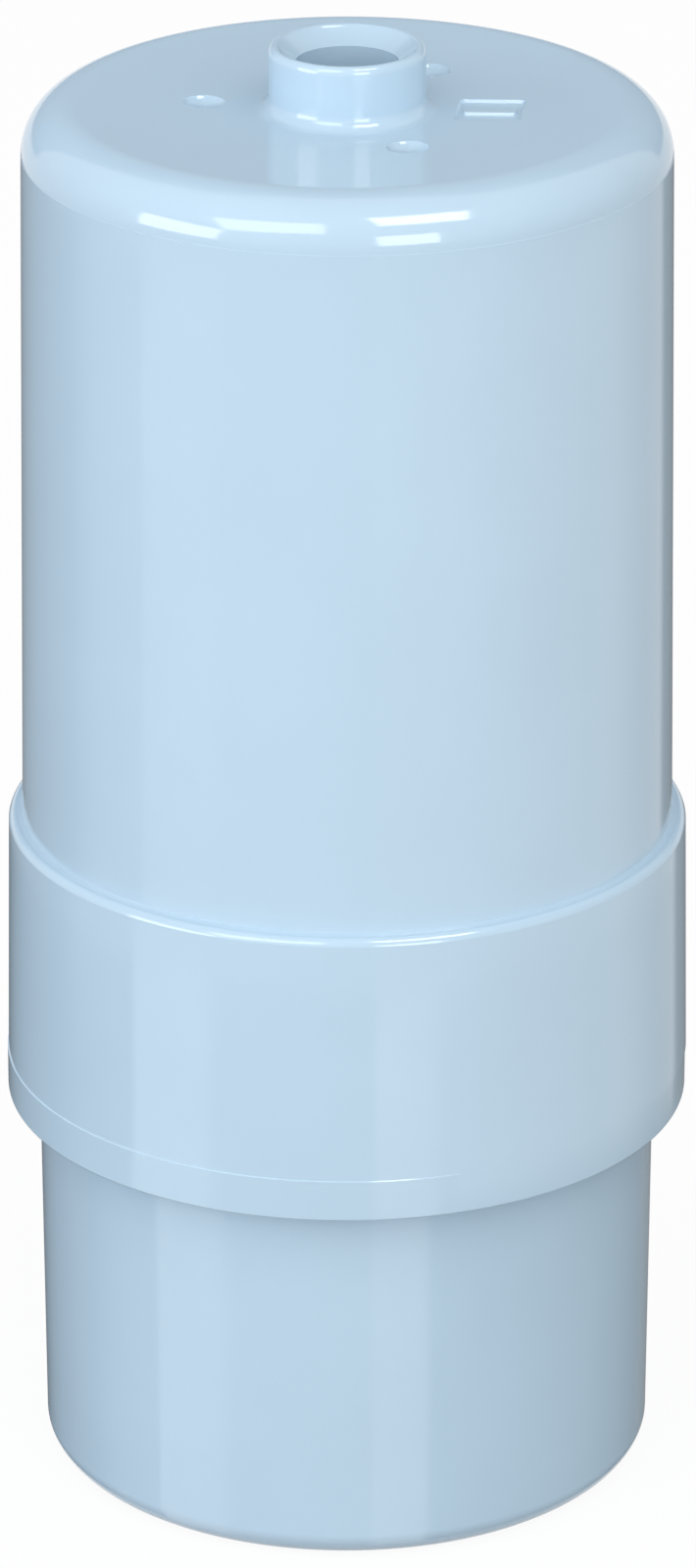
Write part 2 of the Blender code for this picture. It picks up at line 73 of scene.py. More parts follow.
# Levels and radii that come from the CAD boxes of the two mouldings
upper_low, upper_high = (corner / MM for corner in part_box("upper_case"))
_, lower_high = (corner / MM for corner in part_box("lower_case"))
case_r = upper_high.x
flange_r = lower_high.x
tongue_z = upper_low.z
lip_z = upper_high.z
rim_z = lower_high.z

# Upper moulding
CASE_DRAFT = 1.0
SHOULDER_ROUND = 5.5
TOP_DISH = 0.8
WITNESS_STEP = 0.035      # faint step where the shoulder cavity of the mould ends
NOZZLE_H = 6.3
NOZZLE_BORE_R = 5.6
NOZZLE_WALL = 2.85
NOZZLE_FILLET = 1.6
LIP_ROUND_W = 0.65        # the lip's outer round is elliptic
LIP_ROUND_H = 1.0
LIP_INNER_ROUND_H = 0.3
LIP_INNER_SPAN = (165, 95)      # degrees of the round between the cone and the lip
LEAD_IN_W = 1.75
LEAD_IN_DEPTH = 1.9
CASE_WALL = 2.2
TOP_WALL = 2.2
TONGUE_STEP = 0.65
TONGUE_CHAMFER = 0.5
SKIRT_H = 8.5
SKIRT_IN_R = 14.5
SKIRT_WALL = 1.8
CASE_RIBS = 6
CASE_RIB_T = 1.6
CASE_RIB_IN_R = 22.3
CASE_RIB_Z = 142.3

# Gate wells in the top face
WELL_COUNT = 3
WELL_CIRCLE_R = 15.4
WELL_TURN = 54.4
WELL_R = 2.25
WELL_DEPTH = 1.0
WELL_FILLET = 2.0
WELL_DRAFT = 36.0
WELL_EDGE = 0.14
NUB_R = 0.3               # gate vestige in the middle of each well
NUB_DROP = 0.62
NUB_SPAN = (15, 75)       # degrees of its rounded top

# Generic pocket with a raised bar in the top face
POCKET_CIRCLE_R = 15.3
POCKET_TURN = -7.2
POCKET_SHIFT = 0.6        # towards the back, along the pocket's side
POCKET_SIDE = 7.2
POCKET_CORNER = 0.5
POCKET_DEPTH = 0.38
POCKET_DRAFT = 27.0
POCKET_FILLET = 0.1
POCKET_EDGE = 0.06
BAR_L = 5.6
BAR_W = 1.5
BAR_CORNER = 0.4
BAR_DROP = 0.05

# Cutters for the wells and the pocket
CUTTER_EDGE_END = 97      # degrees, where the soft edge stops just short of level with the face
CUTTER_RISE = 1.0         # how far a cutter stands over the face

# Lower moulding
SEAT_GAP = 0.3            # between the two mouldings where they don't touch
MOUTH_GAP = -0.03         # below zero, because the case is welded into the rim
MOUTH_DEPTH = 2.3
COLLAR_DRAFT = 0.45
RIM_ROUND = 0.9
RIM_EDGE_SLOPE = 24.0     # the rim round starts from the wall at this slope, as a crisp edge
WELD_W = 0.55             # small cone that the weld leaves between the case and the rim
WELD_RISE = 0.3
PARTING_STEP = 0.1
PARTING_H = 4.7
FLANGE_ROUND = 0.3
FLANGE_STEP = 3.65
BARREL_H = 43.4
BARREL_DRAFT = 0.3
BARREL_WALL = 2.3
MOULD_SHIFT = (-0.1, -0.1)   # mismatch of the mould half below the parting line
FOOT_ROUND = 3.05
FOOT_LAND = 4.0
FOOT_RECESS = 1.2
FLOOR_WALL = 2.6
FLOOR_FILLET = 2.0
SHELF_WALL = 2.6
INLET_WALL = 2.6
INLET_DEPTH = 8.0
FLOOR_RIB_COUNT = 8
FLOOR_RIB_T = 1.6
FLOOR_RIB_RISE = 2.0

crest_z = lip_z - NOZZLE_H
nozzle_r = NOZZLE_BORE_R + NOZZLE_WALL
case_top_r = case_r - CASE_DRAFT
case_in_r = case_r - CASE_WALL
under_top_z = crest_z - TOP_DISH - TOP_WALL
case_step_z = rim_z - MOUTH_DEPTH + SEAT_GAP
tongue_r = case_r - TONGUE_STEP
collar_r = flange_r - PARTING_STEP
parting_z = BARREL_H + PARTING_H
barrel_r = flange_r - FLANGE_STEP
foot_r = barrel_r - BARREL_DRAFT
foot_in_r = foot_r - BARREL_WALL
floor_z = FOOT_RECESS + FLOOR_WALL
inlet_top_z = FOOT_RECESS + INLET_DEPTH

# The top face is a shallow bowl whose slope at the crest runs on into the shoulder round
crest_r = case_top_r - SHOULDER_ROUND
crest_slope = atan(2 * TOP_DISH / crest_r)
bowl_r = crest_r - SHOULDER_ROUND * sin(crest_slope)
bowl_edge_z = crest_z - SHOULDER_ROUND * (1 - cos(crest_slope))


def top_face_z(r):
    """Height of the dished top face at a radius."""
    return bowl_edge_z - tan(crest_slope) / (2 * bowl_r) * (bowl_r ** 2 - r ** 2)


def arc(centre_r, centre_z, radius, start, end, steps, height=None):
    """Points of an arc in the profile plane, elliptic where it has a height of its own."""
    rise = radius if height is None else height
    points = []
    for step in range(steps + 1):
        angle = radians(start + (end - start) * step / steps)
        points.append((centre_r + radius * cos(angle), centre_z + rise * sin(angle)))
    return points


def between(start, end, steps):
    """Points inside a straight stretch of the profile, without its two ends."""
    return [(start[0] + (end[0] - start[0]) * step / steps, start[1] + (end[1] - start[1]) * step / steps)
            for step in range(1, steps)]


def spun(profile):
    """A closed (radius, height) section turned about the axis, with its rows of vertices."""
    mesh_data = bmesh.new()
    rows = []
    for r, z in profile:
        row = []
        for step in range(SIDES):
            angle = 2 * pi * step / SIDES
            row.append(mesh_data.verts.new((r * cos(angle) * MM, r * sin(angle) * MM, z * MM)))
        rows.append(row)
    for row, following in zip(rows, rows[1:] + rows[:1]):
        for step in range(SIDES):
            after = (step + 1) % SIDES
            mesh_data.faces.new((row[step], row[after], following[after], following[step]))
    return mesh_data, rows


def add_plate(mesh_data, angle, outline, width):
    """One closed radial plate, from an outline of (radius, height)."""
    sides = []
    for offset in (-width / 2, width / 2):
        side = []
        for r, z in outline:
            x = r * cos(angle) - offset * sin(angle)
            y = r * sin(angle) + offset * cos(angle)
            side.append(mesh_data.verts.new((x * MM, y * MM, z * MM)))
        sides.append(side)
    near, far = sides
    for index in range(len(outline)):
        following = (index + 1) % len(outline)
        mesh_data.faces.new((near[index], near[following], far[following], far[index]))
    mesh_data.faces.new(far)
    mesh_data.faces.new(list(reversed(near)))


def prism(width, length, corner, profile, place, steps=SMALL_STEPS):
    """A closed solid over a round-cornered outline, from (outward offset, height) pairs, in its place."""
    mesh_data = bmesh.new()
    rows = []
    for offset, z in profile:
        row = []
        for quarter, (sx, sy) in enumerate(((1, 1), (-1, 1), (-1, -1), (1, -1))):
            for step in range(steps + 1):
                angle = pi / 2 * (quarter + step / steps)
                x = sx * (width / 2 - corner) + (corner + offset) * cos(angle)
                y = sy * (length / 2 - corner) + (corner + offset) * sin(angle)
                row.append(mesh_data.verts.new(place @ Vector((x * MM, y * MM, z * MM))))
        rows.append(row)
    for row, following in zip(rows, rows[1:]):
        for step in range(len(row)):
            after = (step + 1) % len(row)
            mesh_data.faces.new((row[step], row[after], following[after], following[step]))
    mesh_data.faces.new(rows[-1])
    mesh_data.faces.new(list(reversed(rows[0])))
    bmesh.ops.remove_doubles(mesh_data, verts=mesh_data.verts, dist=MERGE_DISTANCE * MM)
    return mesh_data


def press_profile(depth, fillet, edge, slope):
    """(offset, height) of a cutter: floor fillet, drafted wall, soft edge and the rise over the face."""
    draft = radians(slope)
    # Centres of the fillet and the edge, both tangent to a wall that meets the face at offset 0
    inner = (fillet - depth - fillet * sin(draft)) * tan(draft) - fillet * cos(draft)
    outer = edge * cos(draft) - edge * (1 - sin(draft)) * tan(draft)
    points = arc(inner, fillet - depth, fillet, -90, -slope, PRESS_STEPS)
    points += arc(outer, -edge, edge, 180 - slope, CUTTER_EDGE_END, EDGE_STEPS)
    return points + [(points[-1][0], CUTTER_RISE)]


def on_top_face(r, turn):
    """A frame on the top face, with x outwards along the face and z along its normal."""
    slope = atan(tan(crest_slope) * r / bowl_r)
    return (Matrix.Rotation(radians(turn), 4, "Z") @ Matrix.Translation((r * MM, 0.0, top_face_z(r) * MM))
            @ Matrix.Rotation(-slope, 4, "Y"))


def make_piece(name, mesh_data, material):
    """An object in the scene from bmesh data, with one material."""
    bmesh.ops.recalc_face_normals(mesh_data, faces=mesh_data.faces)
    mesh = bpy.data.meshes.new(name)
    mesh_data.to_mesh(mesh)
    mesh_data.free()
    piece = bpy.data.objects.new(name, mesh)
    bpy.context.collection.objects.link(piece)
    mesh.materials.append(material)
    return piece


def smooth(piece):
    """Smooth shading with sharp creases, where the large faces keep the walls straight."""
    piece.data.shade_smooth()
    piece.data.set_sharp_from_angle(angle=radians(CREASE))
    weighting = piece.modifiers.new("flat_walls", "WEIGHTED_NORMAL")
    weighting.mode = "FACE_AREA"
    weighting.weight = LARGE_FACE_WEIGHT
    weighting.keep_sharp = True


def upper_profile():
    """Section of the can, from the nozzle bore round the outside and back along the inside."""
    foot_out_r = nozzle_r + NOZZLE_FILLET
    fillet_z = top_face_z(foot_out_r) + NOZZLE_FILLET
    cone_foot = (NOZZLE_BORE_R, lip_z - LEAD_IN_DEPTH)
    cone_top = (NOZZLE_BORE_R + LEAD_IN_W, lip_z - LIP_INNER_ROUND_H)
    crown_r = nozzle_r - LIP_ROUND_W
    edge = arc(crown_r, cone_top[1], crown_r - cone_top[0], *LIP_INNER_SPAN, EDGE_STEPS, LIP_INNER_ROUND_H)
    points = [(NOZZLE_BORE_R, under_top_z)]
    points += between(points[0], cone_foot, BORE_STEPS) + [cone_foot]
    points += between(cone_foot, edge[0], STRAIGHT_STEPS) + edge
    points += arc(crown_r, lip_z - LIP_ROUND_H, LIP_ROUND_W, 90, 0, ROUND_STEPS, LIP_ROUND_H)
    points += between(points[-1], (nozzle_r, fillet_z), NOZZLE_STEPS)
    points += arc(foot_out_r, fillet_z, NOZZLE_FILLET, 180, 270, FILLET_STEPS)
    ring = foot_out_r
    while ring < bowl_r - TOP_RING_END:
        pressed = abs(ring - WELL_CIRCLE_R) < POCKET_SIDE / 2 + TOP_RING_MARGIN
        ring += TOP_RING_FINE if pressed else TOP_RING_STEP
        points.append((ring, top_face_z(ring)))
    points += arc(crest_r, crest_z - SHOULDER_ROUND, SHOULDER_ROUND, 90 + degrees(crest_slope), 0,
                  SHOULDER_STEPS)
    witness_z = crest_z - SHOULDER_ROUND
    below = (case_top_r + WITNESS_STEP, witness_z - WITNESS_STEP)
    points += [below] + between(below, (case_r, case_step_z), WALL_STEPS)
    points += [(case_r, case_step_z), (tongue_r, case_step_z), (tongue_r, tongue_z + TONGUE_CHAMFER),
               (tongue_r - TONGUE_CHAMFER, tongue_z), (case_in_r, tongue_z), (case_in_r, case_step_z)]
    inner_round = SHOULDER_ROUND - CASE_WALL
    top_in_r = case_top_r - CASE_WALL
    skirt_r = SKIRT_IN_R + SKIRT_WALL
    points += arc(top_in_r - inner_round, under_top_z - inner_round, inner_round, 0, 90, SMALL_STEPS)
    points += [(skirt_r, under_top_z), (skirt_r, under_top_z - SKIRT_H),
               (SKIRT_IN_R, under_top_z - SKIRT_H), (SKIRT_IN_R, under_top_z)]
    return points


def combine(piece, mesh_data, operation, material):
    """Join or cut with an exact Boolean and keep the result as the piece's mesh."""
    tool = make_piece("tool", mesh_data, material)
    modifier = piece.modifiers.new("shape", "BOOLEAN")
    modifier.object = tool
    modifier.operation = operation
    modifier.solver = "EXACT"
    graph = bpy.context.evaluated_depsgraph_get()
    made = bpy.data.meshes.new_from_object(piece.evaluated_get(graph))
    piece.modifiers.clear()
    piece.data = made
    bpy.data.objects.remove(tool, do_unlink=True)


def press_wells(piece, material):
    """Cut the gate wells and leave a gate vestige in each."""
    well_wall = press_profile(WELL_DEPTH, WELL_FILLET, WELL_EDGE, WELL_DRAFT)
    nub_wall = [(0.0, -WELL_DEPTH - NUB_R), (0.0, -NUB_DROP - NUB_R)]
    nub_wall += arc(-NUB_R, -NUB_DROP - NUB_R, NUB_R, *NUB_SPAN, NUB_STEPS)
    for index in range(WELL_COUNT):
        place = on_top_face(WELL_CIRCLE_R, WELL_TURN + 360 / WELL_COUNT * index)
        well = prism(2 * WELL_R, 2 * WELL_R, WELL_R, well_wall, place, WELL_CORNER_STEPS)
        combine(piece, well, "DIFFERENCE", material)
        combine(piece, prism(2 * NUB_R, 2 * NUB_R, NUB_R, nub_wall, place), "UNION", material)


def press_pocket(piece, material):
    """Cut the square pocket and put its bar back."""
    shift = Matrix.Translation((0.0, POCKET_SHIFT * MM, 0.0))
    place = on_top_face(POCKET_CIRCLE_R, POCKET_TURN) @ shift
    pocket_wall = press_profile(POCKET_DEPTH, POCKET_FILLET, POCKET_EDGE, POCKET_DRAFT)
    pocket = prism(POCKET_SIDE, POCKET_SIDE, POCKET_CORNER, pocket_wall, place)
    combine(piece, pocket, "DIFFERENCE", material)
    bar_wall = [(2 * POCKET_DEPTH * tan(radians(POCKET_DRAFT)), -2 * POCKET_DEPTH)]
    bar_wall += arc(-POCKET_EDGE, -BAR_DROP - POCKET_EDGE, POCKET_EDGE, POCKET_DRAFT, 90, EDGE_STEPS)
    combine(piece, prism(BAR_L, BAR_W, BAR_CORNER, bar_wall, place), "UNION", material)


def add_case_ribs(piece):
    """Closed plates under the top, joined to the piece's mesh."""
    mesh_data = bmesh.new()
    rib_r = case_top_r - CASE_WALL / 2
    rib_top = under_top_z + TOP_WALL / 2
    rib = [(CASE_RIB_IN_R, CASE_RIB_Z), (rib_r, CASE_RIB_Z), (rib_r, rib_top - SHOULDER_ROUND / 2),
           (rib_r - SHOULDER_ROUND / 2, rib_top), (CASE_RIB_IN_R, rib_top)]
    for index in range(CASE_RIBS):
        add_plate(mesh_data, 2 * pi * index / CASE_RIBS, rib, CASE_RIB_T)
    bmesh.ops.recalc_face_normals(mesh_data, faces=mesh_data.faces)
    mesh_data.from_mesh(piece.data)
    mesh_data.to_mesh(piece.data)
    mesh_data.free()


def build_upper(material):
    """The can with its nozzle, its wells and pocket, and its inner ribs."""
    mesh_data, _ = spun(upper_profile())
    piece = make_piece("upper_case_moulding", mesh_data, material)
    press_wells(piece, material)
    press_pocket(piece, material)
    add_case_ribs(piece)
    smooth(piece)
    return piece


def lower_profile():
    """Section of the lower moulding, and how many of its points belong to the shifted mould half."""
    foot_flat_r = foot_r - FOOT_ROUND
    recess_r = foot_flat_r - FOOT_LAND
    barrel_in_r = barrel_r - BARREL_WALL
    socket_r = tongue_r + SEAT_GAP
    mouth_r = case_r + MOUTH_GAP
    collar_mouth_r = collar_r - COLLAR_DRAFT
    inlet_r = NOZZLE_BORE_R + INLET_WALL
    shelf_z = BARREL_H + SHELF_WALL
    mouth_z = rim_z - MOUTH_DEPTH
    points = [(NOZZLE_BORE_R + LEAD_IN_W, FOOT_RECESS), (recess_r - FOOT_RECESS, FOOT_RECESS),
              (recess_r, 0.0)]
    points += arc(foot_flat_r, FOOT_ROUND, FOOT_ROUND, -90, 0, FOOT_STEPS)
    points += between(points[-1], (barrel_r, BARREL_H), STRAIGHT_STEPS) + [(barrel_r, BARREL_H)]
    points += arc(collar_r - FLANGE_ROUND, BARREL_H + FLANGE_ROUND, FLANGE_ROUND, -90, 0, SMALL_STEPS)
    points += [(collar_r, parting_z)]
    shifted = len(points)
    slope = radians(RIM_EDGE_SLOPE)
    rim_w, rim_h = RIM_ROUND / cos(slope), RIM_ROUND / (1 - sin(slope))
    rim = arc(collar_mouth_r - RIM_ROUND, rim_z - rim_h, rim_w, RIM_EDGE_SLOPE, 90, ROUND_STEPS, rim_h)
    points += [(collar_r, parting_z + PARTING_STEP)]
    points += between(points[-1], rim[0], STRAIGHT_STEPS) + rim
    points += [(mouth_r + WELD_W, rim_z), (mouth_r, rim_z + WELD_RISE)]
    points += [(mouth_r, mouth_z), (socket_r, mouth_z), (socket_r, shelf_z), (barrel_in_r, shelf_z)]
    points += arc(foot_in_r - FLOOR_FILLET, floor_z + FLOOR_FILLET, FLOOR_FILLET, 0, -90, SMALL_STEPS)
    points += [(inlet_r, floor_z), (inlet_r, inlet_top_z), (NOZZLE_BORE_R, inlet_top_z),
               (NOZZLE_BORE_R, FOOT_RECESS + LEAD_IN_DEPTH)]
    return points, shifted


def add_floor_ribs(mesh_data):
    """Closed plates from the inlet socket out to the barrel's wall."""
    rib_z = floor_z - FLOOR_WALL / 2
    rib_top = inlet_top_z + FLOOR_RIB_RISE
    inner_r, outer_r = NOZZLE_BORE_R + INLET_WALL / 2, foot_in_r + BARREL_WALL / 2
    rib = [(inner_r, rib_z), (outer_r, rib_z), (outer_r, rib_top), (inner_r, rib_top)]
    for index in range(FLOOR_RIB_COUNT):
        add_plate(mesh_data, 2 * pi * index / FLOOR_RIB_COUNT, rib, FLOOR_RIB_T)


def build_lower(material):
    """The collar, flange, barrel and base, with the ribs of the barrel's floor."""
    profile, shifted = lower_profile()
    mesh_data, rows = spun(profile)
    for row in rows[2:shifted]:
        for vertex in row:
            vertex.co.x += MOULD_SHIFT[0] * MM
            vertex.co.y += MOULD_SHIFT[1] * MM
    add_floor_ribs(mesh_data)
    piece = make_piece("lower_case_moulding", mesh_data, material)
    smooth(piece)
    return piece


# Materials
class Nodes:
    """Small helper that adds and links the nodes of one material."""

    def __init__(self, name):
        self.material = bpy.data.materials.new(name)
        self.material.use_nodes = True
        self.tree = self.material.node_tree
        self.shader = self.tree.nodes["Principled BSDF"]
        coordinates = self.tree.nodes.new("ShaderNodeTexCoord")
        self.place = coordinates.outputs["Object"]

    def noise(self, scale, detail=3.0, stretch=None):
        """Noise in the object's own metres, drawn out where it has a stretch."""
        source = self.place
        if stretch is not None:
            mapping = self.tree.nodes.new("ShaderNodeMapping")
            mapping.inputs["Scale"].default_value = stretch
            self.tree.links.new(source, mapping.inputs["Vector"])
            source = mapping.outputs["Vector"]
        node = self.tree.nodes.new("ShaderNodeTexNoise")
        node.inputs["Scale"].default_value = scale
        node.inputs["Detail"].default_value = detail
        self.tree.links.new(source, node.inputs["Vector"])
        return node.outputs["Fac"]

    def cells(self, scale):
        """Distance from the middle of each grain."""
        node = self.tree.nodes.new("ShaderNodeTexVoronoi")
        node.inputs["Scale"].default_value = scale
        self.tree.links.new(self.place, node.inputs["Vector"])
        return node.outputs["Distance"]

    def ramp(self, factor, *stops):
        """Colour between two stops of (position, colour)."""
        node = self.tree.nodes.new("ShaderNodeValToRGB")
        for element, (position, colour) in zip(node.color_ramp.elements, stops):
            element.position = position
            element.color = (*colour, 1.0)
        self.tree.links.new(factor, node.inputs["Fac"])
        self.tree.links.new(node.outputs["Color"], self.shader.inputs["Base Color"])

    def roughness(self, factor, low, high):
        """Roughness from low to high as the factor rises."""
        node = self.tree.nodes.new("ShaderNodeMapRange")
        node.inputs["To Min"].default_value = low
        node.inputs["To Max"].default_value = high
        self.tree.links.new(factor, node.inputs["Value"])
        self.tree.links.new(node.outputs["Result"], self.shader.inputs["Roughness"])

    def bump(self, *layers):
        """Bump layers of (height, depth in mm), one on top of the other."""
        normal = None
        for height, depth in layers:
            node = self.tree.nodes.new("ShaderNodeBump")
            node.inputs["Strength"].default_value = 1.0
            node.inputs["Distance"].default_value = depth * MM
            self.tree.links.new(height, node.inputs["Height"])
            if normal is not None:
                self.tree.links.new(normal, node.inputs["Normal"])
            normal = node.outputs["Normal"]
        self.tree.links.new(normal, self.shader.inputs["Normal"])

    def set(self, **values):
        """Inputs of the shader by name, with an underscore for each space."""
        for name, value in values.items():
            self.shader.inputs[name.replace("_", " ")].default_value = value


def scaled(colour, factor):
    """A colour made darker or lighter."""
    return tuple(channel * factor for channel in colour)


ABS_COLOUR = (0.468, 0.619, 0.747)
ABS_MOTTLE = 0.015        # share by which the colour goes up and down


def gloss_blue_abs():
    """The two mouldings that the photograph shows."""
    look = Nodes("gloss_blue_abs_look")
    darker, lighter = scaled(ABS_COLOUR, 1 - ABS_MOTTLE), scaled(ABS_COLOUR, 1 + ABS_MOTTLE)
    look.ramp(look.noise(55.0), (0.3, darker), (0.7, lighter))
    look.roughness(look.noise(120.0), low=0.07, high=0.11)
    waves = look.noise(45.0, detail=1.0)
    grain = look.noise(2600.0, detail=2.0)
    look.bump((waves, 0.012), (grain, 0.0004))
    look.set(IOR=1.53)
    return look.material


def white_plastic():
    """Natural white, for the inner mouldings."""
    look = Nodes("white_plastic_look")
    look.ramp(look.noise(90.0), (0.3, (0.74, 0.75, 0.74)), (0.7, (0.80, 0.81, 0.80)))
    look.roughness(look.noise(300.0), low=0.38, high=0.5)
    look.bump((look.noise(1500.0), 0.004))
    look.set(IOR=1.49)
    return look.material


def non_woven():
    """Felt, with its fibres laid mostly one way."""
    look = Nodes("non_woven_look")
    fibres = look.noise(1400.0, detail=6.0, stretch=(1.0, 0.25, 1.0))
    look.ramp(fibres, (0.35, (0.70, 0.70, 0.66)), (0.65, (0.88, 0.88, 0.85)))
    look.roughness(fibres, low=0.85, high=1.0)
    look.bump((fibres, 0.15))
    look.set(Sheen_Weight=0.25)
    return look.material


def granules(name, dark, light, scale):
    """Packed grains, light in the middle, with painted shade between them."""
    look = Nodes(name)
    grains = look.cells(scale)
    # the dark colour is painted shade in the gaps between the grains
    look.ramp(grains, (0.15, light), (0.75, dark))
    look.roughness(look.noise(scale), low=0.8, high=0.9)
    look.bump((grains, -0.4))
    return look.material


def hollow_fibre():
    """Strands that run along the axis."""
    look = Nodes("hollow_fibre_look")
    strands = look.noise(1300.0, detail=2.0, stretch=(1.0, 1.0, 0.03))
    look.ramp(strands, (0.3, (0.72, 0.72, 0.69)), (0.6, (0.92, 0.92, 0.90)))
    look.roughness(strands, low=0.45, high=0.65)
    look.bump((strands, 0.12))
    return look.material


def potting_resin():
    """Amber resin with a slight swirl."""
    look = Nodes("potting_resin_look")
    look.ramp(look.noise(200.0), (0.35, (0.66, 0.57, 0.36)), (0.7, (0.80, 0.72, 0.50)))
    look.roughness(look.noise(500.0), low=0.22, high=0.36)
    look.bump((look.noise(260.0), 0.05))
    look.set(IOR=1.55)
    return look.material


def black_rubber():
    """Dark rubber of the two seals."""
    look = Nodes("black_rubber_look")
    look.ramp(look.noise(400.0), (0.3, (0.016, 0.016, 0.017)), (0.7, (0.034, 0.034, 0.036)))
    look.roughness(look.noise(900.0), low=0.45, high=0.65)
    look.bump((look.noise(2500.0), 0.01))
    return look.material


def dress_frame(looks):
    """Give each CAD node that stays the look of its material slot."""
    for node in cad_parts.values():
        for material_slot in node.material_slots:
            for name, look in looks.items():
                if material_slot.material and material_slot.material.name.startswith(name):
                    material_slot.material = look
                    break


# Studio, whose distances and places are in metres
FLOOR_HALF = 4.0
FLOOR_COLOUR = 0.9        # where the floor is seen
FLOOR_BOUNCE = 0.3        # how much light the floor sends back up
FLOOR_ROUGHNESS = 0.9
FLOOR_GLOW = 0.93         # share of plain white in the floor that the camera sees
WORLD_LEVEL = 0.54
WHITE = (1.0, 1.0, 1.0)
COOL = (0.96, 1.00, 1.06)      # light from the left
WARM = (0.98, 1.01, 0.99)      # light from the right

# Lamps that light the surfaces and that gloss doesn't show
# Each has its azimuth, elevation, width and height in degrees, its radiance and its colour
FILL_DISTANCE = 1.2
BODY_AIM = Vector((0.0, 0.0, 0.095))
FILLS = {
    "fill_left": (-75, 8, 50, 40, 1.7, COOL),
    "fill_front_left": (-25, 8, 50, 40, 1.2, COOL),
    "fill_front_right": (25, 8, 50, 40, 1.7, WARM),
    "fill_left_high": (-30, 50, 50, 40, 1.0, WHITE),
    "fill_right_high": (30, 50, 50, 40, 0.95, WHITE),
    "fill_right_behind": (90, 50, 50, 40, 0.2, WARM),
    "fill_behind": (180, 40, 60, 40, 0.35, WHITE),
}

# Softboxes that only gloss shows
# Each has its azimuth, elevation, width and height in degrees, its radiance and its roll
SOFTBOX_DISTANCE = 0.9
SHOULDER_AIM = Vector((0.0, 0.0, 0.155))
SOFTBOXES = {
    "softbox_left": (-59.7, 8.2, 31, 21, 5.5, 0),
    "softbox_left_high": (-29.5, 35.0, 34, 22, 4.3, 16),
    "softbox_right_high": (34.0, 52.0, 27, 19, 8.5, -12),
    "softbox_right": (20.8, 11.5, 21, 20, 6.0, 0),
}

# Card on the floor that the walls show in their gloss, with its own heights in millimetres
# Each row is a height on a wall, the wall's radius there and the level of the strips
CARD_Z = 0.3
CARD_REACH = 87           # degrees to each side that follow the walls, before the card closes behind
CARD_BACK_STEPS = 24
CARD_FOOT_INSET = 0.25
CARD_FLANGE_MARGIN = 0.9
CARD_RIM_MARGIN = 1.5
CARD_SEAM_MARGIN = 0.5
CARD_ROWS = [
    (0.0, barrel_r - CARD_FOOT_INSET, 0),
    (BARREL_H - CARD_FLANGE_MARGIN, barrel_r, 0),
    (parting_z, collar_r, 1),
    (rim_z - CARD_RIM_MARGIN, collar_r - COLLAR_DRAFT, 1),
    (rim_z + CARD_SEAM_MARGIN, case_r, 2),
    (crest_z, case_top_r, 2),
]

# Strips of the floor card by azimuth on the wall, with their radiance on the barrel, the collar and the case
CARD_STRIPS = {
    "dark_left": (-87, -56, (0.1, 0.08, 0.2)),
    "side_left": (-48, -38, (0.4, 0.35, 0.75)),
    "strip_left": (-37, -24, (1.4, 1.55, 1.4)),
    "front": (-22, 4, (0.85, 0.9, 1.2)),
    "strip_right": (5, 14, (1.4, 1.8, 1.4)),
    "right": (16, 50, (0.3, 1.3, 1.45)),
    "side_right": (62, 71, (0.2, 0.75, 0.85)),
    "dark_right": (74, 87, (0.25, 0.2, 0.2)),
}

# Dark card behind, which the top face shows, with its radiance at each height
FLAG_COLOUR = (0.85, 1.0, 1.2)
FLAG_DISTANCE = 0.4
FLAG_SPAN = (135, 226)
FLAG_ROWS = [(0.15, 0.4), (0.4, 0.4), (0.5, 0.15), (1.0, 0.15)]

CAMERA_PLACE = Vector((0.000076, -0.83444, 0.427197))
CAMERA_DOWN = 22.657      # degrees below level
CAMERA_LENS = 187.197
CAMERA_SENSOR = 36.0
CAMERA_CLIP = (0.05, 20.0)


def softbox(name, azimuth, elevation, wide, high, radiance, aim, distance, roll=0.0, colour=WHITE):
    """An area light that fills wide by high degrees, at an azimuth to the right of the camera's side."""
    lamp = bpy.data.lights.new(name, "AREA")
    lamp.shape = "RECTANGLE"
    lamp.size = 2 * distance * tan(radians(wide / 2))
    lamp.size_y = 2 * distance * tan(radians(high / 2))
    lamp.energy = radiance * pi * lamp.size * lamp.size_y
    lamp.color = colour
    item = bpy.data.objects.new(name, lamp)
    a, e = radians(azimuth), radians(elevation)
    outwards = Vector((sin(a) * cos(e), -cos(a) * cos(e), sin(e)))
    item.location = aim + outwards * distance
    item.rotation_mode = "QUATERNION"
    turned = Quaternion((0.0, 0.0, 1.0), radians(roll))
    item.rotation_quaternion = (-outwards).to_track_quat("-Z", "Y") @ turned
    bpy.context.collection.objects.link(item)
    return item


def level_at(stops, azimuth):
    """The radiance of one level at an azimuth, straight between its stops."""
    for (start, before), (end, after) in zip(stops, stops[1:]):
        if azimuth <= end:
            return before + (after - before) * (azimuth - start) / (end - start)
    return stops[-1][1]


def glow_card(name, grid, material):
    """A card that only gloss shows, from rows of (place, radiance)."""
    mesh_data = bmesh.new()
    glow = mesh_data.verts.layers.float.new("glow")
    rows = []
    for line in grid:
        row = []
        for place, radiance in line:
            vertex = mesh_data.verts.new(place)
            vertex[glow] = radiance
            row.append(vertex)
        rows.append(row)
    for row, following in zip(rows, rows[1:]):
        for step in range(len(row) - 1):
            mesh_data.faces.new((row[step], row[step + 1], following[step + 1], following[step]))
    card = make_piece(name, mesh_data, material)
    card.visible_camera = False
    card.visible_diffuse = False
    card.visible_transmission = False
    card.visible_shadow = False


def around(azimuth, radius, z):
    """The place at an azimuth to the right of the camera's side."""
    return Vector((radius * sin(azimuth), -radius * cos(azimuth), z))


def card_stops(level):
    """(azimuth, radiance) along the floor card at one level, straight from each strip to the next."""
    return [(azimuth, radiance[level])
            for start, end, radiance in CARD_STRIPS.values() for azimuth in (start, end)]


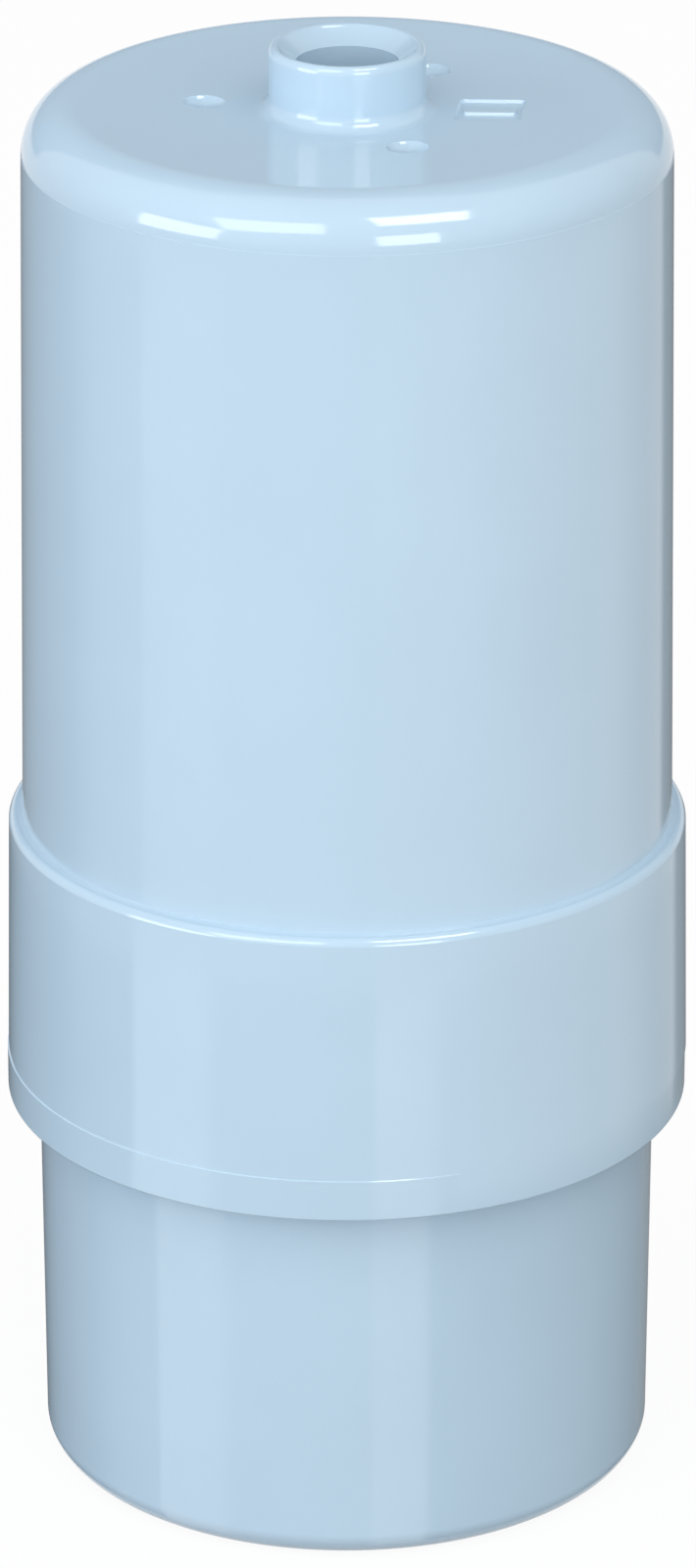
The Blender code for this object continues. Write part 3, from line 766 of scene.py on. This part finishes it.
def floor_card_grid():
    """Rows of the floor card, each where the camera's mirror rays off one height of a wall meet it."""
    grid = []
    for z, radius, level in CARD_ROWS:
        row = []
        for azimuth in range(-CARD_REACH, CARD_REACH + 1):
            outwards = around(radians(azimuth), 1.0, 0.0)
            wall = outwards * (radius * MM) + Vector((0.0, 0.0, max(z, CARD_Z) * MM))
            ray = (wall - CAMERA_PLACE).reflect(outwards)
            place = wall + ray * ((wall.z - CARD_Z * MM) / -ray.z)
            row.append((place, level_at(card_stops(level), azimuth)))
        (start, first), (end, last) = row[-1], row[0]
        turn_from, turn_to = atan2(start.x, -start.y), atan2(end.x, -end.y) + 2 * pi
        for step in range(1, CARD_BACK_STEPS + 1):
            share = step / CARD_BACK_STEPS
            radius_here = start.xy.length + (end.xy.length - start.xy.length) * share
            turn = turn_from + (turn_to - turn_from) * share
            row.append((around(turn, radius_here, CARD_Z * MM), first + (last - first) * share))
        grid.append(row)
    return grid


def flag_grid():
    """Rows of the dark card, from low to high."""
    return [[(around(radians(azimuth), FLAG_DISTANCE, z), radiance) for azimuth in range(*FLAG_SPAN)]
            for z, radiance in FLAG_ROWS]


def glow_material(name, colour):
    """Light whose strength comes from each point's glow."""
    material = bpy.data.materials.new(name)
    material.use_nodes = True
    tree = material.node_tree
    tree.nodes.remove(tree.nodes["Principled BSDF"])
    emission = tree.nodes.new("ShaderNodeEmission")
    emission.inputs["Color"].default_value = (*colour, 1.0)
    glow = tree.nodes.new("ShaderNodeAttribute")
    glow.attribute_name = "glow"
    tree.links.new(glow.outputs["Fac"], emission.inputs["Strength"])
    tree.links.new(emission.outputs["Emission"], tree.nodes["Material Output"].inputs["Surface"])
    return material


def seen_directly(tree):
    """1 for rays of the camera, of gloss and through glass, so that all of them see the same white."""
    path = tree.nodes.new("ShaderNodeLightPath")
    total = path.outputs["Is Camera Ray"]
    for name in ("Is Glossy Ray", "Is Transmission Ray"):
        add = tree.nodes.new("ShaderNodeMath")
        add.operation = "MAXIMUM"
        tree.links.new(total, add.inputs[0])
        tree.links.new(path.outputs[name], add.inputs[1])
        total = add.outputs["Value"]
    return total


def build_floor():
    """A pale floor that stays white to the camera and keeps the shadow."""
    mesh_data = bmesh.new()
    corners = [(-1, -1), (1, -1), (1, 1), (-1, 1)]
    mesh_data.faces.new([mesh_data.verts.new((x * FLOOR_HALF, y * FLOOR_HALF, 0.0)) for x, y in corners])
    material = bpy.data.materials.new("floor_white")
    material.use_nodes = True
    tree = material.node_tree
    shader = tree.nodes["Principled BSDF"]
    direct = seen_directly(tree)
    pale = tree.nodes.new("ShaderNodeMapRange")
    pale.inputs["To Min"].default_value = FLOOR_BOUNCE
    pale.inputs["To Max"].default_value = FLOOR_COLOUR
    tree.links.new(direct, pale.inputs["Value"])
    tree.links.new(pale.outputs["Result"], shader.inputs["Base Color"])
    shader.inputs["Roughness"].default_value = FLOOR_ROUGHNESS
    shader.inputs["Specular IOR Level"].default_value = 0.0
    white = tree.nodes.new("ShaderNodeEmission")
    mix = tree.nodes.new("ShaderNodeMixShader")
    share = tree.nodes.new("ShaderNodeMath")
    share.operation = "MULTIPLY"
    share.inputs[1].default_value = FLOOR_GLOW
    tree.links.new(direct, share.inputs[0])
    tree.links.new(share.outputs["Value"], mix.inputs["Fac"])
    tree.links.new(shader.outputs["BSDF"], mix.inputs[1])
    tree.links.new(white.outputs["Emission"], mix.inputs[2])
    tree.links.new(mix.outputs["Shader"], tree.nodes["Material Output"].inputs["Surface"])
    floor = make_piece("floor", mesh_data, material)


def build_world(level):
    """White wherever it is seen, and at its level as a light."""
    world = bpy.data.worlds.new("studio")
    bpy.context.scene.world = world
    world.use_nodes = True
    tree = world.node_tree
    background = tree.nodes["Background"]
    background.inputs["Color"].default_value = (1.0, 1.0, 1.0, 1.0)
    strength = tree.nodes.new("ShaderNodeMapRange")
    strength.inputs["To Min"].default_value = level
    strength.inputs["To Max"].default_value = 1.0
    tree.links.new(seen_directly(tree), strength.inputs["Value"])
    tree.links.new(strength.outputs["Result"], background.inputs["Strength"])


def build_studio():
    """Floor, world, lamps and the two cards."""
    build_floor()
    build_world(WORLD_LEVEL)
    for name, (*values, colour) in FILLS.items():
        softbox(name, *values, BODY_AIM, FILL_DISTANCE, colour=colour).visible_glossy = False
    for name, (*values, roll) in SOFTBOXES.items():
        softbox(name, *values, SHOULDER_AIM, SOFTBOX_DISTANCE, roll).visible_diffuse = False
    glow_card("floor_card", floor_card_grid(), glow_material("card_glow", WHITE))
    glow_card("flag_behind", flag_grid(), glow_material("flag_glow", FLAG_COLOUR))


def build_camera():
    """The photograph's view, as fitted to the object's outline."""
    camera = bpy.data.cameras.new("camera")
    camera.sensor_width = CAMERA_SENSOR
    camera.lens = CAMERA_LENS
    camera.clip_start, camera.clip_end = CAMERA_CLIP
    item = bpy.data.objects.new("camera", camera)
    item.location = CAMERA_PLACE
    item.rotation_euler = (radians(90 - CAMERA_DOWN), 0.0, 0.0)
    bpy.context.collection.objects.link(item)
    bpy.context.scene.camera = item


blue = gloss_blue_abs()
upper_piece = build_upper(blue)
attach(upper_piece, "root")
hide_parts("upper_case")
lower_piece = build_lower(blue)
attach(lower_piece, "root")
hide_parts("lower_case")
dress_frame({
    "gloss_blue_abs": blue,
    "white_plastic": white_plastic(),
    "non_woven": non_woven(),
    "sulfite_granules": granules("sulfite_look", (0.55, 0.53, 0.47), (0.86, 0.84, 0.78), 450.0),
    "activated_carbon": granules("carbon_look", (0.006, 0.006, 0.007), (0.035, 0.035, 0.037), 700.0),
    "hollow_fibre": hollow_fibre(),
    "potting_resin": potting_resin(),
    "black_rubber": black_rubber(),
})
build_studio()
build_camera()
bpy.context.scene.view_settings.view_transform = "Standard"
